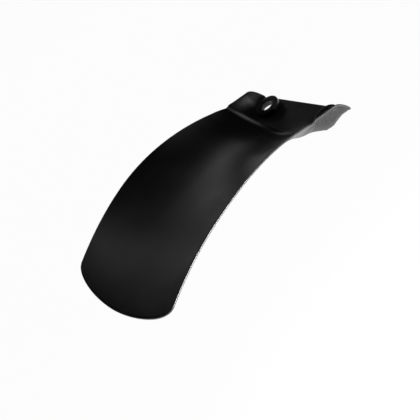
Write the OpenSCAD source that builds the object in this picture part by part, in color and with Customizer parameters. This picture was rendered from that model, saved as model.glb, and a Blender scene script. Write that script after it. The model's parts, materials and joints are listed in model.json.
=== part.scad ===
// Shock absorber mud flap: one moulded sheet with a trough-shaped blade, two side walls that end
// as ears, a sunk mounting panel beyond a curved step, and two hollow bosses with bolt holes.
// It lies as it comes to rest: arched side up, on its lip and on the heel under the step.
// X runs across the flap, Y from the lip to the mounting end, Z up.

/* [Blade] */
// Width across the rims near the lip
lip_w = 120; // [100:1:140]
// Width between the rims at the mounting end
mount_w = 97.5; // [90:0.5:112]
// Length of the arched part of the blade, along its centre line
crown_len = 165; // [120:1:220]
// Radius of the arch at the lip
lip_bend_r = 237; // [180:1:400]
// Radius of the arch where it meets the straight run
run_bend_r = 129.5; // [100:0.5:300]
// Length of the straight run between the arch and the heel
run_len = 19.7; // [8:0.1:30]
// How far the lip is rounded back at its corners
lip_round = 19; // [8:0.5:30]
// Thickness of the sheet
wall = 2.2; // [1.8:0.1:3]
// Thickness of the sheet at its thinned rims
rim_t = 1.4; // [1:0.1:1.8]

/* [Side walls] */
// Height of the rims above the middle of the blade, at the lip
lip_rim_h = 0.4; // [0:0.1:4]
// Height of the rims where the arch ends
run_rim_h = 15.6; // [10:0.2:20]
// Height of the side walls above the step
step_rim_h = 20.4; // [14:0.2:24]
// Height of the ears at the mounting end
ear_h = 10; // [8:0.2:18]
// Rounding of the ears at their far end
ear_round = 9; // [4:0.5:14]

/* [Mounting end] */
// Inner radius of the bend at the heel
heel_r = 10; // [6:0.5:24]
// Angle between the straight run and the mounting panel
heel_angle = 37; // [20:1:50]
// Length of the mounting panel, from the step to its end
panel_len = 28; // [24:0.2:36]
// Depth of the panel below the step
step_h = 2.2; // [1:0.1:3]
// How far the step curves towards the mounting end at the side walls
step_bow = 0.5; // [0:0.5:5]
// Width of the flat floor of the panel
floor_w = 75; // [56:1:80]

/* [Bosses] */
// Distance between the two bolt holes
hole_pitch = 67; // [50:0.5:70]
// Distance of the bolt holes from the end of the panel
hole_inset = 10.2; // [10:0.2:12]
// Diameter of the bolt holes
hole_d = 9.5; // [6:0.5:10]
// Outer diameter of the bosses
boss_d = 19.4; // [17:0.2:20]
// Height of the bosses above the panel
boss_h = 4.8; // [3:0.2:7]
// Thickness of the seat that the bolt hole goes through
seat_t = 2.6; // [2:0.1:3]

/* [Hidden] */
colour = [0.06, 0.06, 0.065];
// shapes of the sections: how flat the trough is, how steep the wall stands on the panel's floor
trough_power = 1.92;
wall_power = 1.6;
// outline of the lip, and how the rims rise along the arch
lip_power = 1.82;
rise_power = 1.52;
// narrowing of the blade starts this far up the arch and ends at the step
waist_start = crown_len - 85;
waist_end_past_step = 8;
// the walls lean with the arch up to here, then turn upright over the heel
lean_start = crown_len - 15;
lean_end_past_step = 10;
// run over which the trough turns into the flat-floored end
blend_before = 2;
blend_after = 15;
riser = 0.7;
edge_round = 0.35 * rim_t;
hollow_d = boss_d - 5;
foot_slope = 29;
foot_inset = 1;
cut = 0.1;
deg = 180 / PI;

heel_len = heel_r * heel_angle / deg;
heel_s = crown_len + run_len;
step_s = heel_s + heel_len;
end_s = step_s + panel_len;
hole_s = end_s - hole_inset;

function clamp01(v) = min(1, max(0, v));
function mix(a, b, k) = a + (b - a) * k;
function smooth(v) = let (k = clamp01(v)) k * k * (3 - 2 * k);

// slope of the centre line, in degrees, with the panel level: the arch, the straight run, the heel
function arch_turn(s) =
    deg * ((crown_len - s) / lip_bend_r
        + (1 / run_bend_r - 1 / lip_bend_r) * (crown_len * crown_len - s * s) / (2 * crown_len));
function slope(s) =
    s < crown_len ? arch_turn(s) - heel_angle :
    s < heel_s ? -heel_angle :
    s < step_s ? -heel_angle * (step_s - s) / heel_len : 0;

// the centre line itself, walked from the lip in short paces
pace = 0.5;
paces = ceil(end_s / pace) + 4;
walk = [for (i = 0, p = [0, 0]; i <= paces;
    p = p + pace * [cos(slope((i + 0.5) * pace)), sin(slope((i + 0.5) * pace))], i = i + 1) p];
function centre(s) = let (u = max(0, s) / pace, i = floor(u)) mix(walk[i], walk[i + 1], u - i);

function half_w(s) =
    mix(lip_w, mount_w, (1 - cos(180 * clamp01((s - waist_start) / (step_s + waist_end_past_step - waist_start)))) / 2) / 2;
function arch_rim_h(s) = mix(lip_rim_h, run_rim_h, pow(clamp01(s / crown_len), rise_power));
function ear_fall(s) =
    let (u = clamp01((s - end_s + ear_round) / ear_round)) pow(max(0, 1 - pow(u, 2.2)), 0.8);
function rim_h(s) =
    s < crown_len ? arch_rim_h(s) :
    s < step_s ? mix(run_rim_h, step_rim_h, (s - crown_len) / (step_s - crown_len)) :
    mix(step_rim_h, ear_h, (s - step_s) / panel_len) * ear_fall(s);
function lean(s) =
    slope(min(s, crown_len)) * (1 - smooth((s - lean_start) / (step_s + lean_end_past_step - lean_start)));

// upper face without its step: s runs along the centre line, t from -1 to 1 across
function section(s, t) =
    let (a = abs(t), flat = floor_w / 2 / half_w(s), box = max(0, (a - flat) / (1 - flat)))
    mix(pow(a, trough_power), pow(box, wall_power),
        smooth((s - step_s + blend_before) / (blend_before + blend_after)));
function face(s, t) =
    let (c = centre(s), h = rim_h(s) * section(s, t), a = lean(s))
    [half_w(s) * t, c[0] - sin(a) * h, c[1] + cos(a) * h];
function normal(s, t) =
    let (e = 0.25, u = min(1, t + e / 60), v = max(-1, t - e / 60),
        across = face(s, u) - face(s, v), along = face(s + e, t) - face(max(0, s - e), t),
        n = cross(across, along))
    n / norm(n);

// depth of the recess: it starts at the step and fades out up the walls
function recess(t) = step_h * smooth((1 - abs(t)) / 0.12);
function top_sink(s, t) = recess(t) * clamp01((s - step_s - step_bow * t * t) / riser);
function under_sink(s, t) = recess(t) * smooth((s - step_s + 8) / 8);
function thick(t) = mix(rim_t, wall, smooth((1 - abs(t)) / 0.3));

// rows along the flap, closer together at the lip, over the heel, at the step and at the ears' end
rows = concat(
    [for (i = [0 : 15]) (heel_s - 4) * pow(i / 16, 1.2)],
    [for (i = [0 : 5]) mix(heel_s - 4, step_s, i / 6)],
    [step_s, step_s + riser],
    [for (i = [1 : 4]) mix(step_s + riser, end_s - ear_round, i / 4)],
    [for (i = [1 : 5]) end_s - ear_round * (1 - sin(90 * i / 5))]);
columns = [for (j = [-10 : 10]) let (q = j / 10) 0.45 * q + 0.55 * sin(90 * q)];
last_row = len(rows) - 1;
last_col = len(columns) - 1;
lip_blend = 60;
bow_blend = 20;
function lip_s(t) = lip_round * (1 - pow(max(0, 1 - pow(abs(t), lip_power)), 1 / lip_power));
function row_s(r, t) =
    r + lip_s(t) * pow(clamp01(1 - r / lip_blend), 2) + step_bow * t * t * clamp01(1 - abs(r - step_s) / bow_blend);

top = [for (r = rows) [for (t = columns) let (s = row_s(r, t)) face(s, t) - top_sink(s, t) * normal(s, t)]];
under = [for (r = rows) [for (t = columns) let (s = row_s(r, t))
    face(s, t) - (thick(t) + under_sink(s, t)) * normal(s, t)]];

// the sheet's edge, walked once round: [row, column, row further in, column further in]
rim_walk = concat(
    [for (j = [0 : last_col]) [0, j, 1, j]],
    [for (i = [1 : last_row]) [i, last_col, i, last_col - 1]],
    [for (j = [last_col - 1 : -1 : 0]) [last_row, j, last_row - 1, j]],
    [for (i = [last_row - 1 : -1 : 1]) [i, 0, i, 1]]);
edge = [for (e = rim_walk) let (a = top[e[0]][e[1]], out = a - top[e[2]][e[3]])
    (a + under[e[0]][e[1]]) / 2 + edge_round * out / norm(out)];

// the tilt that brings the lip and the heel to the same level, and the lift and shift to the origin
mid_col = last_col / 2;
lip_foot = under[0][mid_col];
rest_tilt = -min([for (i = [12 : last_row]) let (d = under[i][mid_col] - lip_foot) atan2(d[2], d[1])]);
function turned(p) = [p[0], p[1] * cos(rest_tilt) - p[2] * sin(rest_tilt), p[1] * sin(rest_tilt) + p[2] * cos(rest_tilt)];
reach = [for (p = edge) turned(p)[1]];
shift_y = -(min(reach) + max(reach)) / 2;
lift_z = -turned(lip_foot)[2];

module sheet() {
    n = last_col + 1;
    m = last_row + 1;
    e = len(edge);
    points = concat([for (r = top) each r], [for (r = under) each r], edge);
    function up(i, j) = i * n + j;
    function low(i, j) = m * n + i * n + j;
    skins = [for (i = [0 : last_row - 1]) for (j = [0 : last_col - 1]) each [
        [up(i, j), up(i + 1, j), up(i + 1, j + 1)], [up(i, j), up(i + 1, j + 1), up(i, j + 1)],
        [low(i, j), low(i + 1, j + 1), low(i + 1, j)], [low(i, j), low(i, j + 1), low(i + 1, j + 1)]]];
    bands = [for (k = [0 : e - 1])
        let (l = (k + 1) % e, a = rim_walk[k], b = rim_walk[l],
            ua = up(a[0], a[1]), ub = up(b[0], b[1]), la = low(a[0], a[1]), lb = low(b[0], b[1]),
            ea = 2 * m * n + k, eb = 2 * m * n + l)
        each [[ua, ub, eb], [ua, eb, ea], [ea, eb, lb], [ea, lb, la]]];
    polyhedron(points, concat(skins, bands), convexity = 8);
}

// level of the panel's floor at the bolt holes, before the flap is tilted to rest
floor_z = centre(hole_s)[1] - step_h;
hole_y = centre(hole_s)[0];
under_z = floor_z - wall;

// children stand at the left hole, and mirrored at the right one, with +X towards the near ear
module at_holes() {
    for (side = [0, 1]) mirror([1 - side, 0, 0]) translate([hole_pitch / 2, hole_y, 0]) children();
}

// space above a slope that climbs with the side wall, so that no boss comes out under the wall
module boss_foot() {
    translate([(floor_w - hole_pitch) / 2 - foot_inset, 0, floor_z - wall / 2])
        rotate([0, -foot_slope, 0]) translate([-2 * boss_d, -boss_d, 0]) cube([4 * boss_d, 2 * boss_d, 2 * boss_d]);
}

module mud_flap() {
    color(colour)
        translate([0, shift_y, lift_z]) rotate([rest_tilt, 0, 0]) difference() {
            union() {
                sheet();
                at_holes() intersection() {
                    translate([0, 0, floor_z - wall / 2]) cylinder(d = boss_d, h = wall / 2 + boss_h, $fn = 72);
                    boss_foot();
                }
            }
            at_holes() {
                translate([0, 0, floor_z]) cylinder(d = hole_d, h = boss_h + cut, $fn = 64);
                translate([0, 0, under_z - cut])
                    cylinder(d = hollow_d, h = wall + boss_h - seat_t + cut, $fn = 64);
            }
        }
}

mud_flap();
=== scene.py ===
"""Looks of a moulded rubber mud flap for a rear shock absorber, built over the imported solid."""
import json
import math

import bmesh
import bpy
from bpy.props import FloatProperty, FloatVectorProperty, IntProperty, PointerProperty
from mathutils import Matrix, Vector


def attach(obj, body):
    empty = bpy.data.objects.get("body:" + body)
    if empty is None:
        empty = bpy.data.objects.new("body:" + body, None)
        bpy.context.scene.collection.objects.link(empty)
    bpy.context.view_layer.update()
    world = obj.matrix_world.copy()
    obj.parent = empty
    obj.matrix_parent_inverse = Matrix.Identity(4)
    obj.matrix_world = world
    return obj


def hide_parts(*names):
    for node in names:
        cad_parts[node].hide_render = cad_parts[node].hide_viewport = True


bl_info = {
    "name": "Moulded mud flap",
    "version": (1, 0, 0),
    "blender": (4, 5, 0),
    "location": "View3D > Sidebar > Mud Flap",
    "description": "Builds the smooth rubber shell, its bosses, its rubber finish and a plain studio",
    "category": "Object",
}

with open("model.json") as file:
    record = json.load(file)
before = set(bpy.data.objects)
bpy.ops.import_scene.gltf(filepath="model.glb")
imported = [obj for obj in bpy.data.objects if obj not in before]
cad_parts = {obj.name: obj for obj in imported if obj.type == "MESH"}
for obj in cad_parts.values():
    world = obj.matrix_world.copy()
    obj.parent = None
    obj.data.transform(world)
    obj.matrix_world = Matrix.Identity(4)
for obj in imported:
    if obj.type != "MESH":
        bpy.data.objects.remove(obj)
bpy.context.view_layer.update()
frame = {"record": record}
MOUNTS = {m["name"]: m for m in frame["record"]["mounts"]}
MM = 0.001


# ---------------------------------------------------------------- sizes


class FlapSizes(bpy.types.PropertyGroup):
    """Sizes of the flap, in metres, as in the part's source"""

    lip_width: FloatProperty(
        name="Lip width", description="Width across the rims near the lip", default=0.12, unit="LENGTH")
    mount_width: FloatProperty(
        name="Mount width", description="Width between the rims at the mounting end",
        default=0.0975, unit="LENGTH")
    crown_length: FloatProperty(
        name="Arch length", description="Length of the arch along its centre line",
        default=0.165, unit="LENGTH")
    lip_bend: FloatProperty(
        name="Lip bend", description="Radius of the arch at the lip", default=0.237, unit="LENGTH")
    run_bend: FloatProperty(
        name="Run bend", description="Radius of the arch at the straight run", default=0.1295, unit="LENGTH")
    run_length: FloatProperty(
        name="Run length", description="Straight run between the arch and the heel",
        default=0.0197, unit="LENGTH")
    lip_round: FloatProperty(
        name="Lip rounding", description="How far the lip is rounded back at its corners",
        default=0.019, unit="LENGTH")
    wall: FloatProperty(name="Sheet", description="Thickness of the sheet", default=0.0022, unit="LENGTH")
    rim: FloatProperty(
        name="Rim", description="Thickness of the sheet at its rims", default=0.0014, unit="LENGTH")
    lip_rim_height: FloatProperty(
        name="Lip rim", description="Height of the rims above the middle of the blade, at the lip",
        default=0.0004, unit="LENGTH")
    run_rim_height: FloatProperty(
        name="Rim height", description="Height of the rims where the arch ends",
        default=0.0156, unit="LENGTH")
    step_rim_height: FloatProperty(
        name="Wall height", description="Height of the side walls above the step",
        default=0.0204, unit="LENGTH")
    ear_height: FloatProperty(
        name="Ear height", description="Height of the ears at the mounting end", default=0.01, unit="LENGTH")
    ear_round: FloatProperty(
        name="Ear rounding", description="Rounding of the ears at their far end",
        default=0.009, unit="LENGTH")
    ear_flare: FloatProperty(
        name="Ear flare", description="How far the ears flare out at their far end",
        default=0.0012, unit="LENGTH")
    heel_radius: FloatProperty(
        name="Heel radius", description="Inner radius of the bend at the heel", default=0.01, unit="LENGTH")
    heel_angle: FloatProperty(
        name="Heel angle", description="Angle between the run and the panel",
        default=math.radians(37), subtype="ANGLE")
    panel_length: FloatProperty(
        name="Panel length", description="Length of the mounting panel", default=0.028, unit="LENGTH")
    step_height: FloatProperty(
        name="Step", description="Depth of the panel below the step", default=0.0022, unit="LENGTH")
    step_bow: FloatProperty(
        name="Step bow", description="How far the step curves at the side walls",
        default=0.0005, unit="LENGTH")
    floor_width: FloatProperty(
        name="Floor width", description="Width of the flat floor of the panel", default=0.075, unit="LENGTH")
    hole_pitch: FloatProperty(
        name="Hole pitch", description="Distance between the bolt holes", default=0.067, unit="LENGTH")
    hole_inset: FloatProperty(
        name="Hole inset", description="Distance of the holes from the panel's end",
        default=0.0102, unit="LENGTH")
    hole: FloatProperty(name="Hole", description="Diameter of the bolt holes", default=0.0095, unit="LENGTH")
    boss: FloatProperty(
        name="Boss", description="Outer diameter of the bosses", default=0.0194, unit="LENGTH")
    boss_height: FloatProperty(
        name="Boss height", description="Height of the bosses above the panel",
        default=0.0048, unit="LENGTH")
    seat: FloatProperty(
        name="Seat", description="Thickness of the seat the hole goes through",
        default=0.0026, unit="LENGTH")
    columns: IntProperty(name="Columns", description="Faces across the sheet", default=104, min=20)


class FlapFinish(bpy.types.PropertyGroup):
    """Colours and gloss of the rubber and of the studio"""

    rubber: FloatVectorProperty(
        name="Rubber", description="Colour of the rubber",
        subtype="COLOR", size=3, default=(0.006, 0.006, 0.0062), min=0, max=1)
    # Also the colour of the painted highlight along the rims, besides the panel's bloom.
    bloom_and_rim_highlight: FloatVectorProperty(
        name="Bloom", description="Colour of the pale bloom on the mould-grained panel",
        subtype="COLOR", size=3, default=(0.03, 0.03, 0.03), min=0, max=1)
    gloss: FloatProperty(
        name="Roughness", description="Roughness of the smooth rubber",
        subtype="FACTOR", default=0.3, min=0, max=1)
    floor: FloatVectorProperty(
        name="Floor", description="Colour of the floor",
        subtype="COLOR", size=3, default=(0.9, 0.9, 0.9), min=0, max=1)


def sizes():
    return bpy.context.scene.flap_sizes


# ---------------------------------------------------------------- shape of the sheet, in millimetres


def clamp01(v):
    return min(1.0, max(0.0, v))


def mix(a, b, k):
    return a + (b - a) * k


def smooth(v):
    k = clamp01(v)
    return k * k * (3 - 2 * k)


class SheetShape:
    """The flap's curved sheet, its panel level: s runs from the lip along the centre line, t from -1 to 1 across."""

    TROUGH, WALL_STEEPNESS, LIP_CURVE, RISE = 1.92, 1.6, 1.82, 1.52
    EAR_FALL, EAR_ROUNDNESS = 2.2, 0.8
    # millimetres from here on
    PACE, RISER, CORNER = 0.5, 0.7, 1.2
    BEAD, BEAD_REACH = 0.28, 0.55
    WAIST_BEFORE_ARCH_END, WAIST_PAST_STEP = 85, 8
    LEAN_BEFORE_ARCH_END, LEAN_PAST_STEP = 15, 10
    BLEND_BEFORE_STEP, BLEND_LENGTH = 2, 17
    LIP_BLEND, BOW_BLEND, UNDER_BLEND = 60, 20, 8
    FLARE_LEAD = 3
    END_REACH, BEFORE_HEEL, BEFORE_STEP, PAST_STEP = 2.2, 6, 2, 1.2
    PROBE, PROBE_WIDTH = 0.25, 60
    # how many rows of faces
    BLADE_ROWS, HEEL_ROWS, STEP_ROWS, PANEL_ROWS, EAR_ROWS, END_ROWS = 96, 16, 18, 22, 12, 5
    # shares of the half width, counted in from the rim
    RECESS_FADE, THIN_RIM, BEAD_FADE = 0.12, 0.3, 0.1
    SIZES = (
        "lip_width", "mount_width", "crown_length", "lip_bend", "run_bend", "run_length", "lip_round", "wall", "rim",
        "lip_rim_height", "run_rim_height", "step_rim_height", "ear_height", "ear_round", "ear_flare", "heel_radius",
        "panel_length", "step_height", "step_bow", "floor_width", "hole_pitch", "hole_inset", "hole", "boss",
        "boss_height", "seat")

    def __init__(self, z):
        for name in self.SIZES:
            setattr(self, name, getattr(z, name) / MM)
        self.heel = math.degrees(z.heel_angle)
        self.heel_length = self.heel_radius * z.heel_angle
        self.heel_s = self.crown_length + self.run_length
        self.step_s = self.heel_s + self.heel_length
        self.end_s = self.step_s + self.panel_length
        self.hole_s = self.end_s - self.hole_inset
        self.waist_start = self.crown_length - self.WAIST_BEFORE_ARCH_END
        self.waist_end = self.step_s + self.WAIST_PAST_STEP
        self.lean_start = self.crown_length - self.LEAN_BEFORE_ARCH_END
        self.lean_end = self.step_s + self.LEAN_PAST_STEP
        self.walk = [(0.0, 0.0)]
        for i in range(int(self.end_s / self.PACE) + 8):
            a = math.radians(self.slope((i + 0.5) * self.PACE))
            y, h = self.walk[-1]
            self.walk.append((y + self.PACE * math.cos(a), h + self.PACE * math.sin(a)))

    def slope(self, s):
        if s < self.crown_length:
            c = self.crown_length
            turn = (c - s) / self.lip_bend + (1 / self.run_bend - 1 / self.lip_bend) * (c * c - s * s) / (2 * c)
            return math.degrees(turn) - self.heel
        if s < self.heel_s:
            return -self.heel
        return -self.heel * (self.step_s - s) / self.heel_length if s < self.step_s else 0.0

    def centre(self, s):
        u = max(0.0, s) / self.PACE
        i = min(int(u), len(self.walk) - 2)
        (a, b), (c, d) = self.walk[i], self.walk[i + 1]
        return mix(a, c, u - i), mix(b, d, u - i)

    def half_width(self, s):
        u = clamp01((s - self.waist_start) / (self.waist_end - self.waist_start))
        v = clamp01((s - self.end_s + self.CORNER) / self.CORNER)
        waist = mix(self.lip_width, self.mount_width, (1 - math.cos(math.pi * u)) / 2) / 2
        flare = self.ear_flare * smooth((s - self.end_s + self.ear_round + self.FLARE_LEAD) / self.ear_round)
        return waist + flare - self.CORNER * (1 - math.sqrt(1 - v * v))

    def rim_height(self, s):
        if s < self.crown_length:
            return mix(self.lip_rim_height, self.run_rim_height, clamp01(s / self.crown_length) ** self.RISE)
        if s < self.step_s:
            k = (s - self.crown_length) / (self.step_s - self.crown_length)
            return mix(self.run_rim_height, self.step_rim_height, k)
        u = clamp01((s - self.end_s + self.ear_round) / self.ear_round)
        fall = max(0.0, 1 - u ** self.EAR_FALL) ** self.EAR_ROUNDNESS
        return mix(self.step_rim_height, self.ear_height, (s - self.step_s) / self.panel_length) * fall

    def lean(self, s):
        upright = smooth((s - self.lean_start) / (self.lean_end - self.lean_start))
        return self.slope(min(s, self.crown_length)) * (1 - upright)

    def section(self, s, t):
        a = abs(t)
        flat = self.floor_width / 2 / self.half_width(s)
        box = max(0.0, (a - flat) / (1 - flat))
        k = smooth((s - self.step_s + self.BLEND_BEFORE_STEP) / self.BLEND_LENGTH)
        return mix(a ** self.TROUGH, box ** self.WALL_STEEPNESS, k)

    def face(self, s, t):
        y, h = self.centre(s)
        rise = self.rim_height(s) * self.section(s, t)
        a = math.radians(self.lean(s))
        return Vector((self.half_width(s) * t, y - math.sin(a) * rise, h + math.cos(a) * rise))

    def normal(self, s, t):
        e = self.PROBE
        u = e / self.PROBE_WIDTH
        across = self.face(s, min(1.0, t + u)) - self.face(s, max(-1.0, t - u))
        along = self.face(s + e, t) - self.face(max(0.0, s - e), t)
        return across.cross(along).normalized()

    def recess(self, t):
        return self.step_height * smooth((1 - abs(t)) / self.RECESS_FADE)

    def thickness(self, t):
        return mix(self.rim, self.wall, smooth((1 - abs(t)) / self.THIN_RIM))

    def lip_s(self, t):
        return self.lip_round * (1 - max(0.0, 1 - abs(t) ** self.LIP_CURVE) ** (1 / self.LIP_CURVE))

    def row_s(self, r, t):
        bow = self.step_bow * t * t * clamp01(1 - abs(r - self.step_s) / self.BOW_BLEND)
        return r + self.lip_s(t) * clamp01(1 - r / self.LIP_BLEND) ** 2 + bow

    def top(self, s, t):
        past = s - self.step_s - self.step_bow * t * t
        drop = smooth(past / self.RISER)
        fade = smooth((1 - abs(t)) / self.BEAD_FADE)
        bead = self.BEAD * math.exp(-((past + self.BEAD_REACH) / self.BEAD_REACH) ** 2) * fade
        return self.face(s, t) - (self.recess(t) * drop - bead) * self.normal(s, t)

    def under(self, s, t):
        sink = self.recess(t) * smooth((s - self.step_s + self.UNDER_BLEND) / self.UNDER_BLEND)
        return self.face(s, t) - (self.thickness(t) + sink) * self.normal(s, t)

    def rows(self):
        """Where the rows of faces lie: even on the blade, closer over the heel, at the step and on the ears."""
        heel, step, panel = self.heel_s - self.BEFORE_HEEL, self.step_s - self.BEFORE_STEP, self.step_s + self.PAST_STEP
        ears, end = self.end_s - self.ear_round, self.end_s - self.END_REACH
        runs = (
            (0.0, heel, self.BLADE_ROWS), (heel, step, self.HEEL_ROWS), (step, panel, self.STEP_ROWS),
            (panel, ears, self.PANEL_ROWS), (ears, end, self.EAR_ROWS))
        out = [mix(a, b, i / n) for a, b, n in runs for i in range(n)]
        quarter = [math.sin(math.pi / 2 * i / self.END_ROWS) for i in range(self.END_ROWS + 1)]
        return out + [self.end_s - self.END_REACH * (1 - k) for k in quarter]


def resting(shape):
    """Turns points of the level panel, in millimetres, into the part's frame, by the record's bolt hole."""
    mount = MOUNTS["bolt_hole_right"]
    axis = Vector(mount["axis"])
    y, h = shape.centre(shape.hole_s)
    seat = Vector((shape.hole_pitch / 2, y, h - shape.step_height + shape.boss_height - shape.seat / 2))
    turn = Matrix.Rotation(math.atan2(-axis.y, axis.z), 4, "X")
    return Matrix.Translation(Vector(mount["pos_m"])) @ turn @ Matrix.Scale(MM, 4) @ Matrix.Translation(-seat)


# ---------------------------------------------------------------- pieces

COLUMN_EASE = 0.3  # how much closer the columns stand towards the rims
RIM_CUTS = 5
RIM_BULGE = 0.35  # share of the rim's thickness
GRAIN_EDGE = 0.8  # the rest in millimetres
TURNED_STEPS = 96
BOSS_EDGE, BORE_EDGE, HOLLOW_EDGE = 0.7, 0.5, 0.6
BOSS_WALLS = 5  # both walls of the hollow boss together
BELOW, ABOVE = 6, 2  # how far the cutters pass the sheet
FOOT_SLOPE, FOOT_INSET, FOOT_SINK = 29, 1, 0.55  # degrees, then millimetres
SHARP_ANGLE = 42  # degrees
FEWEST_FACES = 1000  # a Boolean that fails can leave none


def new_object(name, bm):
    mesh = bpy.data.meshes.new(name)
    bm.to_mesh(mesh)
    bm.free()
    obj = bpy.data.objects.new(name, mesh)
    bpy.context.scene.collection.objects.link(obj)
    return obj


def sheet_mesh(shape, columns):
    """The curved sheet: a grid on the upper face, its copy on the lower face, and a rounded rim between them."""
    rows = shape.rows()
    bm = bmesh.new()
    bmesh.ops.create_grid(bm, x_segments=columns, y_segments=len(rows) - 1, size=1)
    # This layer marks the rims, where the material paints a pale highlight line.
    rim_highlight = bm.verts.layers.float.new("rim_painted_highlight")
    grain = bm.verts.layers.float.new("panel_grain")
    depth = bm.verts.layers.float.new("rim_depth")
    upper, lower, outward = (bm.verts.layers.float_vector.new(n) for n in ("rim_upper", "rim_lower", "rim_outward"))
    place = {}
    for v in bm.verts:
        q = v.co.x
        t = mix(q, math.sin(math.pi / 2 * q), COLUMN_EASE)
        r = rows[round((v.co.y + 1) / 2 * (len(rows) - 1))]
        place[v] = (shape.row_s(r, t), t)
    for v, (s, t) in place.items():
        v.co = shape.top(s, t)
        v[grain] = smooth((s - shape.step_s - shape.step_bow * t * t) / GRAIN_EDGE)
    for v, (s, t) in place.items():
        if not v.is_boundary:
            continue
        along = [e.other_vert(v).co for e in v.link_edges if e.is_boundary]
        inner = [e.other_vert(v).co for e in v.link_edges if not e.is_boundary]
        inward = (inner[0] if inner else (along[0] + along[1]) / 2) - v.co
        out = (along[0] - along[1]).cross(shape.normal(s, t)).normalized()
        v[outward] = out if out.dot(inward) < 0 else -out
        # The rims get 1 here: a painted highlight, a paler colour along every edge of the sheet.
        v[upper], v[lower], v[rim_highlight] = v.co, shape.under(s, t), 1.0
    copy = bmesh.ops.duplicate(bm, geom=bm.faces[:] + bm.edges[:] + bm.verts[:])
    for v, (s, t) in place.items():
        w = copy["vert_map"][v]
        w.co = shape.under(s, t)
        w[depth] = 1.0
    bmesh.ops.reverse_faces(bm, faces=[f for f in copy["geom"] if isinstance(f, bmesh.types.BMFace)])
    band = bmesh.ops.bridge_loops(bm, edges=[e for e in bm.edges if e.is_boundary])
    rungs = [e for e in band["edges"] if e.verts[0][depth] != e.verts[1][depth]]
    bmesh.ops.subdivide_edges(bm, edges=rungs, cuts=RIM_CUTS, use_grid_fill=True)
    for v in bm.verts:
        if 0 < v[depth] < 1:
            a = math.pi * v[depth]
            bulge = v[outward] * (RIM_BULGE * shape.rim * math.sin(a))
            v.co = v[upper].lerp(v[lower], (1 - math.cos(a)) / 2) + bulge
    bm.verts.layers.float.remove(bm.verts.layers.float["rim_depth"])
    for n in ("rim_upper", "rim_lower", "rim_outward"):
        bm.verts.layers.float_vector.remove(bm.verts.layers.float_vector[n])
    return bm


def lathe(outline, at):
    """A closed solid turned from a few corners of (radius, height), about an upright axis."""
    bm = bmesh.new()
    verts = [bm.verts.new((at.x + r, at.y, h)) for r, h in outline]
    edges = [bm.edges.new(pair) for pair in zip(verts, verts[1:])]
    bmesh.ops.spin(bm, geom=verts + edges, cent=(at.x, at.y, 0), axis=(0, 0, 1), angle=math.tau,
                   steps=TURNED_STEPS, use_merge=True)
    bmesh.ops.remove_doubles(bm, verts=bm.verts, dist=1e-5)
    bmesh.ops.recalc_face_normals(bm, faces=bm.faces)
    return bm


def joined(parts):
    """One bmesh of several."""
    bm = bmesh.new()
    for part in parts:
        mesh = bpy.data.meshes.new("part")
        part.to_mesh(mesh)
        part.free()
        bm.from_mesh(mesh)
        bpy.data.meshes.remove(mesh)
    return bm


def arc(cx, cz, r, start, stop, n=5):
    """Corners of a rounded edge, from one angle to the other, in degrees."""
    angles = [math.radians(mix(start, stop, i / n)) for i in range(n + 1)]
    return [(cx + r * math.cos(a), cz + r * math.sin(a)) for a in angles]


def boss_tools(shape):
    """The bosses, the room they may fill above the foot of the side walls, and what is bored out of them."""
    y, h = shape.centre(shape.hole_s)
    floor = h - shape.step_height
    root = floor - shape.wall / 2
    top, r = floor + shape.boss_height, shape.boss / 2
    seat = top - shape.seat
    hollow, bore = (shape.boss - BOSS_WALLS) / 2, shape.hole / 2
    body = [(0, root), (r, root)] + arc(r - BOSS_EDGE, top - BOSS_EDGE, BOSS_EDGE, 0, 90) + [(0, top)]
    inside = [(0, floor - BELOW), (hollow, floor - BELOW), (hollow, seat - HOLLOW_EDGE)]
    inside += arc(hollow - HOLLOW_EDGE, seat - HOLLOW_EDGE, HOLLOW_EDGE, 0, 90)[1:] + [(bore, seat)]
    inside += arc(bore + BORE_EDGE, top - BORE_EDGE, BORE_EDGE, 180, 90)
    inside += [(bore + BORE_EDGE, top + ABOVE), (0, top + ABOVE)]
    bosses, room, bores = [], [], []
    for side in (-1, 1):
        at = Vector((side * shape.hole_pitch / 2, y, 0))
        bosses.append(lathe(body, at))
        bores.append(lathe(inside, at))
        foot = bmesh.new()
        turn = Matrix.Rotation(-side * math.radians(FOOT_SLOPE), 3, "Y")
        bmesh.ops.create_cube(foot, size=2 * shape.boss)
        bmesh.ops.translate(foot, verts=foot.verts, vec=(0, 0, shape.boss))
        bmesh.ops.rotate(foot, verts=foot.verts, cent=(0, 0, 0), matrix=turn)
        start = (side * (shape.floor_width / 2 - FOOT_INSET), y, root - FOOT_SINK)
        bmesh.ops.translate(foot, verts=foot.verts, vec=start)
        room.append(foot)
    return joined(bosses), joined(room), joined(bores)


def cut(obj, other, operation):
    """Applies one boolean and takes the other object away."""
    mod = obj.modifiers.new(operation.title(), "BOOLEAN")
    mod.operation, mod.object, mod.solver = operation, other, "MANIFOLD"
    bpy.context.view_layer.objects.active = obj
    bpy.context.view_layer.update()
    bpy.ops.object.modifier_apply(modifier=mod.name)
    mesh = other.data
    bpy.data.objects.remove(other)
    bpy.data.meshes.remove(mesh)


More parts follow.
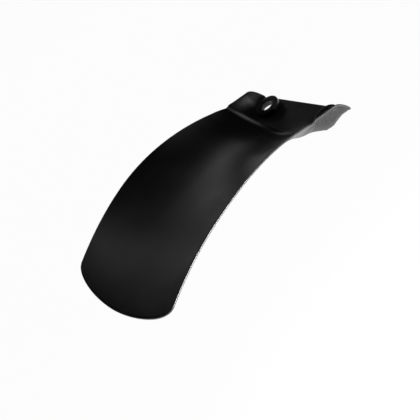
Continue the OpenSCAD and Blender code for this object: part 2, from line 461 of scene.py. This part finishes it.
class FLAP_OT_shell(bpy.types.Operator):
    """Moulded shell: curved sheet, sunk panel, ears and the two hollow bosses, in one piece"""

    bl_idname = "flap.shell"
    bl_label = "Moulded shell"

    def execute(self, context):
        z = sizes()
        shape = SheetShape(z)
        shell = new_object("flap_shell", sheet_mesh(shape, z.columns))
        names = ("bosses", "boss_room", "boss_bores")
        bosses, room, bores = (new_object(n, b) for n, b in zip(names, boss_tools(shape)))
        cut(bosses, room, "INTERSECT")
        cut(shell, bosses, "UNION")
        cut(shell, bores, "DIFFERENCE")
        shell.data.transform(resting(shape))
        shell.data.shade_smooth()
        shell.data.set_sharp_from_angle(angle=math.radians(SHARP_ANGLE))
        if len(shell.data.polygons) < FEWEST_FACES:
            raise RuntimeError("the shell came out empty")
        shell.data.materials.clear()
        shell.data.materials.append(rubber_material())
        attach(shell, "root")
        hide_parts("mud_flap")
        return {"FINISHED"}


# ---------------------------------------------------------------- finish


def socket(tree, name, kind, inout="INPUT", value=None):
    s = tree.interface.new_socket(name=name, in_out=inout, socket_type=kind)
    if value is not None:
        s.default_value = value


def moulded_grain_group():
    """Grain of moulded rubber: a fine skin, coarse mottling where the mask is 1, and slow smudges."""
    tree = bpy.data.node_groups.new("Moulded Grain", "ShaderNodeTree")
    socket(tree, "Vector", "NodeSocketVector")
    socket(tree, "Mottle Mask", "NodeSocketFloat", value=0.0)
    socket(tree, "Fine Scale", "NodeSocketFloat", value=2400.0)
    socket(tree, "Mottle Scale", "NodeSocketFloat", value=420.0)
    for name in ("Height", "Mottle", "Smudge"):
        socket(tree, name, "NodeSocketFloat", inout="OUTPUT")
    n, link = tree.nodes, tree.links.new
    gin, gout = n.new("NodeGroupInput"), n.new("NodeGroupOutput")
    fine = n.new("ShaderNodeTexNoise")
    fine.inputs["Detail"].default_value = 3
    link(gin.outputs["Vector"], fine.inputs["Vector"])
    link(gin.outputs["Fine Scale"], fine.inputs["Scale"])
    mottle = n.new("ShaderNodeTexNoise")
    mottle.inputs["Detail"].default_value = 4
    mottle.inputs["Roughness"].default_value = 0.62
    link(gin.outputs["Vector"], mottle.inputs["Vector"])
    link(gin.outputs["Mottle Scale"], mottle.inputs["Scale"])
    smudge = n.new("ShaderNodeTexNoise")
    smudge.inputs["Scale"].default_value = 38
    smudge.inputs["Detail"].default_value = 2
    link(gin.outputs["Vector"], smudge.inputs["Vector"])
    spots = n.new("ShaderNodeMath")
    spots.operation = "MULTIPLY"
    link(mottle.outputs["Fac"], spots.inputs[0])
    link(gin.outputs["Mottle Mask"], spots.inputs[1])
    skin = n.new("ShaderNodeMath")
    skin.operation = "MULTIPLY"
    skin.inputs[1].default_value = 0.12
    link(fine.outputs["Fac"], skin.inputs[0])
    total = n.new("ShaderNodeMath")
    total.operation = "ADD"
    link(skin.outputs[0], total.inputs[0])
    link(spots.outputs[0], total.inputs[1])
    link(total.outputs[0], gout.inputs["Height"])
    link(spots.outputs[0], gout.inputs["Mottle"])
    link(smudge.outputs["Fac"], gout.inputs["Smudge"])
    return tree


def rubber_material():
    """Black moulded rubber: satin on the blade, mould-grained on the panel, with a painted highlight that makes its
    rims a little paler.
    """
    look = bpy.context.scene.flap_finish
    mat = bpy.data.materials.new("black rubber")
    mat.use_nodes = True
    n, link = mat.node_tree.nodes, mat.node_tree.links.new
    bsdf = n["Principled BSDF"]
    where = n.new("ShaderNodeTexCoord")
    panel = n.new("ShaderNodeAttribute")
    # Reads the rim layer, where a pale painted highlight is mixed into the colour.
    panel.attribute_name = "panel_grain"
    rim_highlight_mask = n.new("ShaderNodeAttribute")
    rim_highlight_mask.attribute_name = "rim_painted_highlight"
    grain = n.new("ShaderNodeGroup")
    grain.node_tree = moulded_grain_group()
    link(where.outputs["Object"], grain.inputs["Vector"])
    link(panel.outputs["Fac"], grain.inputs["Mottle Mask"])
    bump = n.new("ShaderNodeBump")
    bump.inputs["Strength"].default_value = 0.35
    bump.inputs["Distance"].default_value = 0.0004
    link(grain.outputs["Height"], bump.inputs["Height"])
    link(bump.outputs["Normal"], bsdf.inputs["Normal"])
    # Paleness: a painted highlight on the rims at half strength, plus the random pale bloom of the mould-grained panel.
    pale = n.new("ShaderNodeMath")
    pale.operation = "MULTIPLY_ADD"
    pale.inputs[1].default_value = 0.5
    link(rim_highlight_mask.outputs["Fac"], pale.inputs[0])
    bloom = n.new("ShaderNodeMapRange")
    bloom.inputs["From Min"].default_value = 0.42
    bloom.inputs["From Max"].default_value = 0.7
    bloom.inputs["To Max"].default_value = 0.45
    link(grain.outputs["Mottle"], bloom.inputs["Value"])
    link(bloom.outputs["Result"], pale.inputs[2])
    tint = n.new("ShaderNodeMix")
    tint.data_type = "RGBA"
    tint.inputs["A"].default_value = (*look.rubber, 1)
    tint.inputs["B"].default_value = (*look.bloom_and_rim_highlight, 1)
    link(pale.outputs[0], tint.inputs["Factor"])
    link(tint.outputs["Result"], bsdf.inputs["Base Color"])
    rough = n.new("ShaderNodeMapRange")
    rough.inputs["From Min"].default_value = 0.3
    rough.inputs["From Max"].default_value = 0.7
    rough.inputs["To Min"].default_value = look.gloss - 0.025
    rough.inputs["To Max"].default_value = look.gloss + 0.035
    link(grain.outputs["Smudge"], rough.inputs["Value"])
    matt = n.new("ShaderNodeMath")
    matt.operation = "MULTIPLY_ADD"
    matt.inputs[1].default_value = 0.1
    link(panel.outputs["Fac"], matt.inputs[0])
    link(rough.outputs["Result"], matt.inputs[2])
    link(matt.outputs[0], bsdf.inputs["Roughness"])
    return mat


def floor_material():
    """Plain pale floor that shows white to the camera and in reflections, and keeps the object's faint shadow."""
    look = bpy.context.scene.flap_finish
    mat = bpy.data.materials.new("pale floor")
    mat.use_nodes = True
    n, link = mat.node_tree.nodes, mat.node_tree.links.new
    bsdf, out = n["Principled BSDF"], n["Material Output"]
    bsdf.inputs["Base Color"].default_value = (*look.floor, 1)
    bsdf.inputs["Roughness"].default_value = 0.9
    bsdf.inputs["Specular IOR Level"].default_value = 0.0
    glow = n.new("ShaderNodeEmission")
    glow.inputs["Strength"].default_value = 1.0
    path = n.new("ShaderNodeLightPath")
    seen = n.new("ShaderNodeMath")
    seen.operation = "MAXIMUM"
    link(path.outputs["Is Camera Ray"], seen.inputs[0])
    link(path.outputs["Is Glossy Ray"], seen.inputs[1])
    fade = n.new("ShaderNodeMath")
    fade.operation = "MULTIPLY"
    fade.inputs[1].default_value = 0.97
    link(seen.outputs[0], fade.inputs[0])
    blend = n.new("ShaderNodeMixShader")
    link(fade.outputs[0], blend.inputs["Fac"])
    link(bsdf.outputs["BSDF"], blend.inputs[1])
    link(glow.outputs["Emission"], blend.inputs[2])
    link(blend.outputs["Shader"], out.inputs["Surface"])
    return mat


# ---------------------------------------------------------------- studio

SENSOR_MM, PICTURE_PX = 36, 420
AIM_TO_LIP, AIM_BELOW = 100, 40  # from the holes on the panel to the middle of the flap, in millimetres


def studio_world():
    """White for the camera, and a dim grey studio for the object."""
    world = bpy.data.worlds.new("studio")
    bpy.context.scene.world = world
    world.use_nodes = True
    n, link = world.node_tree.nodes, world.node_tree.links.new
    back, out = n["Background"], n["World Output"]
    back.inputs["Color"].default_value = (0.5, 0.5, 0.5, 1)
    back.inputs["Strength"].default_value = 0.02
    white = n.new("ShaderNodeBackground")
    white.inputs["Color"].default_value = (1, 1, 1, 1)
    path = n.new("ShaderNodeLightPath")
    blend = n.new("ShaderNodeMixShader")
    link(path.outputs["Is Camera Ray"], blend.inputs["Fac"])
    link(back.outputs["Background"], blend.inputs[1])
    link(white.outputs["Background"], blend.inputs[2])
    link(blend.outputs["Shader"], out.inputs["Surface"])


def soft_lamp(name, at, aim, size, watts, roll=0.0):
    """A rectangular soft lamp, in metres and watts, turned about its own axis by roll degrees."""
    data = bpy.data.lights.new(name, "AREA")
    data.shape = "RECTANGLE"
    data.size, data.size_y = size
    data.energy = watts
    lamp = bpy.data.objects.new(name, data)
    lamp.location = at
    turn = (Vector(aim) - Vector(at)).to_track_quat("-Z", "Y").to_matrix()
    lamp.rotation_euler = (turn @ Matrix.Rotation(math.radians(roll), 3, "Z")).to_euler()
    bpy.context.scene.collection.objects.link(lamp)


def studio_camera(shape):
    """Camera where the photograph was taken from, relative to the level panel, then turned to rest with it."""
    azimuth, elevation, roll = 1.2995, 0.6039, -0.801
    right_shift, up_shift, distance, focal_px = 32.906, -31.507, 696.81, 942.45
    flat = math.cos(elevation)
    back = Vector((math.sin(azimuth) * flat, -math.cos(azimuth) * flat, math.sin(elevation)))
    level = Vector((math.cos(azimuth), math.sin(azimuth), 0))
    rise = back.cross(level)
    right = math.cos(roll) * level + math.sin(roll) * rise
    up = math.cos(roll) * rise - math.sin(roll) * level
    y, h = shape.centre(shape.hole_s)
    target = Vector((0, y - AIM_TO_LIP, h - shape.step_height - AIM_BELOW))
    place = resting(shape)
    turn = place.to_3x3().normalized()
    data = bpy.data.cameras.new("camera")
    data.sensor_width = SENSOR_MM
    data.lens = focal_px / PICTURE_PX * SENSOR_MM
    cam = bpy.data.objects.new("camera", data)
    spot = place @ (target + back * distance - right * right_shift - up * up_shift)
    axes = Matrix((turn @ right, turn @ up, turn @ back)).transposed()
    cam.matrix_world = Matrix.Translation(spot) @ axes.to_4x4()
    bpy.context.scene.collection.objects.link(cam)
    bpy.context.scene.camera = cam


class FLAP_OT_studio(bpy.types.Operator):
    """Floor, soft lamps, world and camera"""

    bl_idname = "flap.studio"
    bl_label = "Studio"

    def execute(self, context):
        bm = bmesh.new()
        bmesh.ops.create_grid(bm, x_segments=1, y_segments=1, size=4)
        floor = new_object("floor", bm)
        floor.data.materials.append(floor_material())
        studio_world()
        soft_lamp("side strip", (-0.5, 0.14, 0.22), (0, 0, 0.02), (0.66, 0.1), 0.13, 11)
        soft_lamp("overhead box", (-0.04, 0.3, 0.7), (0, 0.05, 0), (0.26, 0.26), 0.42)
        soft_lamp("lip strip", (-0.5, -0.2, 0.33), (0, 0, 0.02), (0.3, 0.06), 0.035)
        soft_lamp("low wall lamp", (0.3, 0.02, 0.012), (0.05, 0.06, 0.014), (0.3, 0.018), 4)
        studio_camera(SheetShape(sizes()))
        context.scene.view_settings.view_transform = "Standard"
        return {"FINISHED"}


class FLAP_PT_panel(bpy.types.Panel):
    """Sidebar panel of the flap's tools"""

    bl_label = "Mud Flap"
    bl_idname = "FLAP_PT_panel"
    bl_space_type = "VIEW_3D"
    bl_region_type = "UI"
    bl_category = "Mud Flap"

    def draw(self, context):
        col = self.layout.column()
        for op in (FLAP_OT_shell, FLAP_OT_studio):
            col.operator(op.bl_idname)
        for group in (context.scene.flap_sizes, context.scene.flap_finish):
            for name in group.__annotations__:
                col.prop(group, name)


CLASSES = (FlapSizes, FlapFinish, FLAP_OT_shell, FLAP_OT_studio, FLAP_PT_panel)


def register():
    for c in CLASSES:
        bpy.utils.register_class(c)
    bpy.types.Scene.flap_sizes = PointerProperty(type=FlapSizes)
    bpy.types.Scene.flap_finish = PointerProperty(type=FlapFinish)


def unregister():
    del bpy.types.Scene.flap_finish
    del bpy.types.Scene.flap_sizes
    for c in reversed(CLASSES):
        bpy.utils.unregister_class(c)


def main():
    register()
    bpy.ops.flap.shell()
    bpy.ops.flap.studio()


if __name__ == "__main__":
    main()
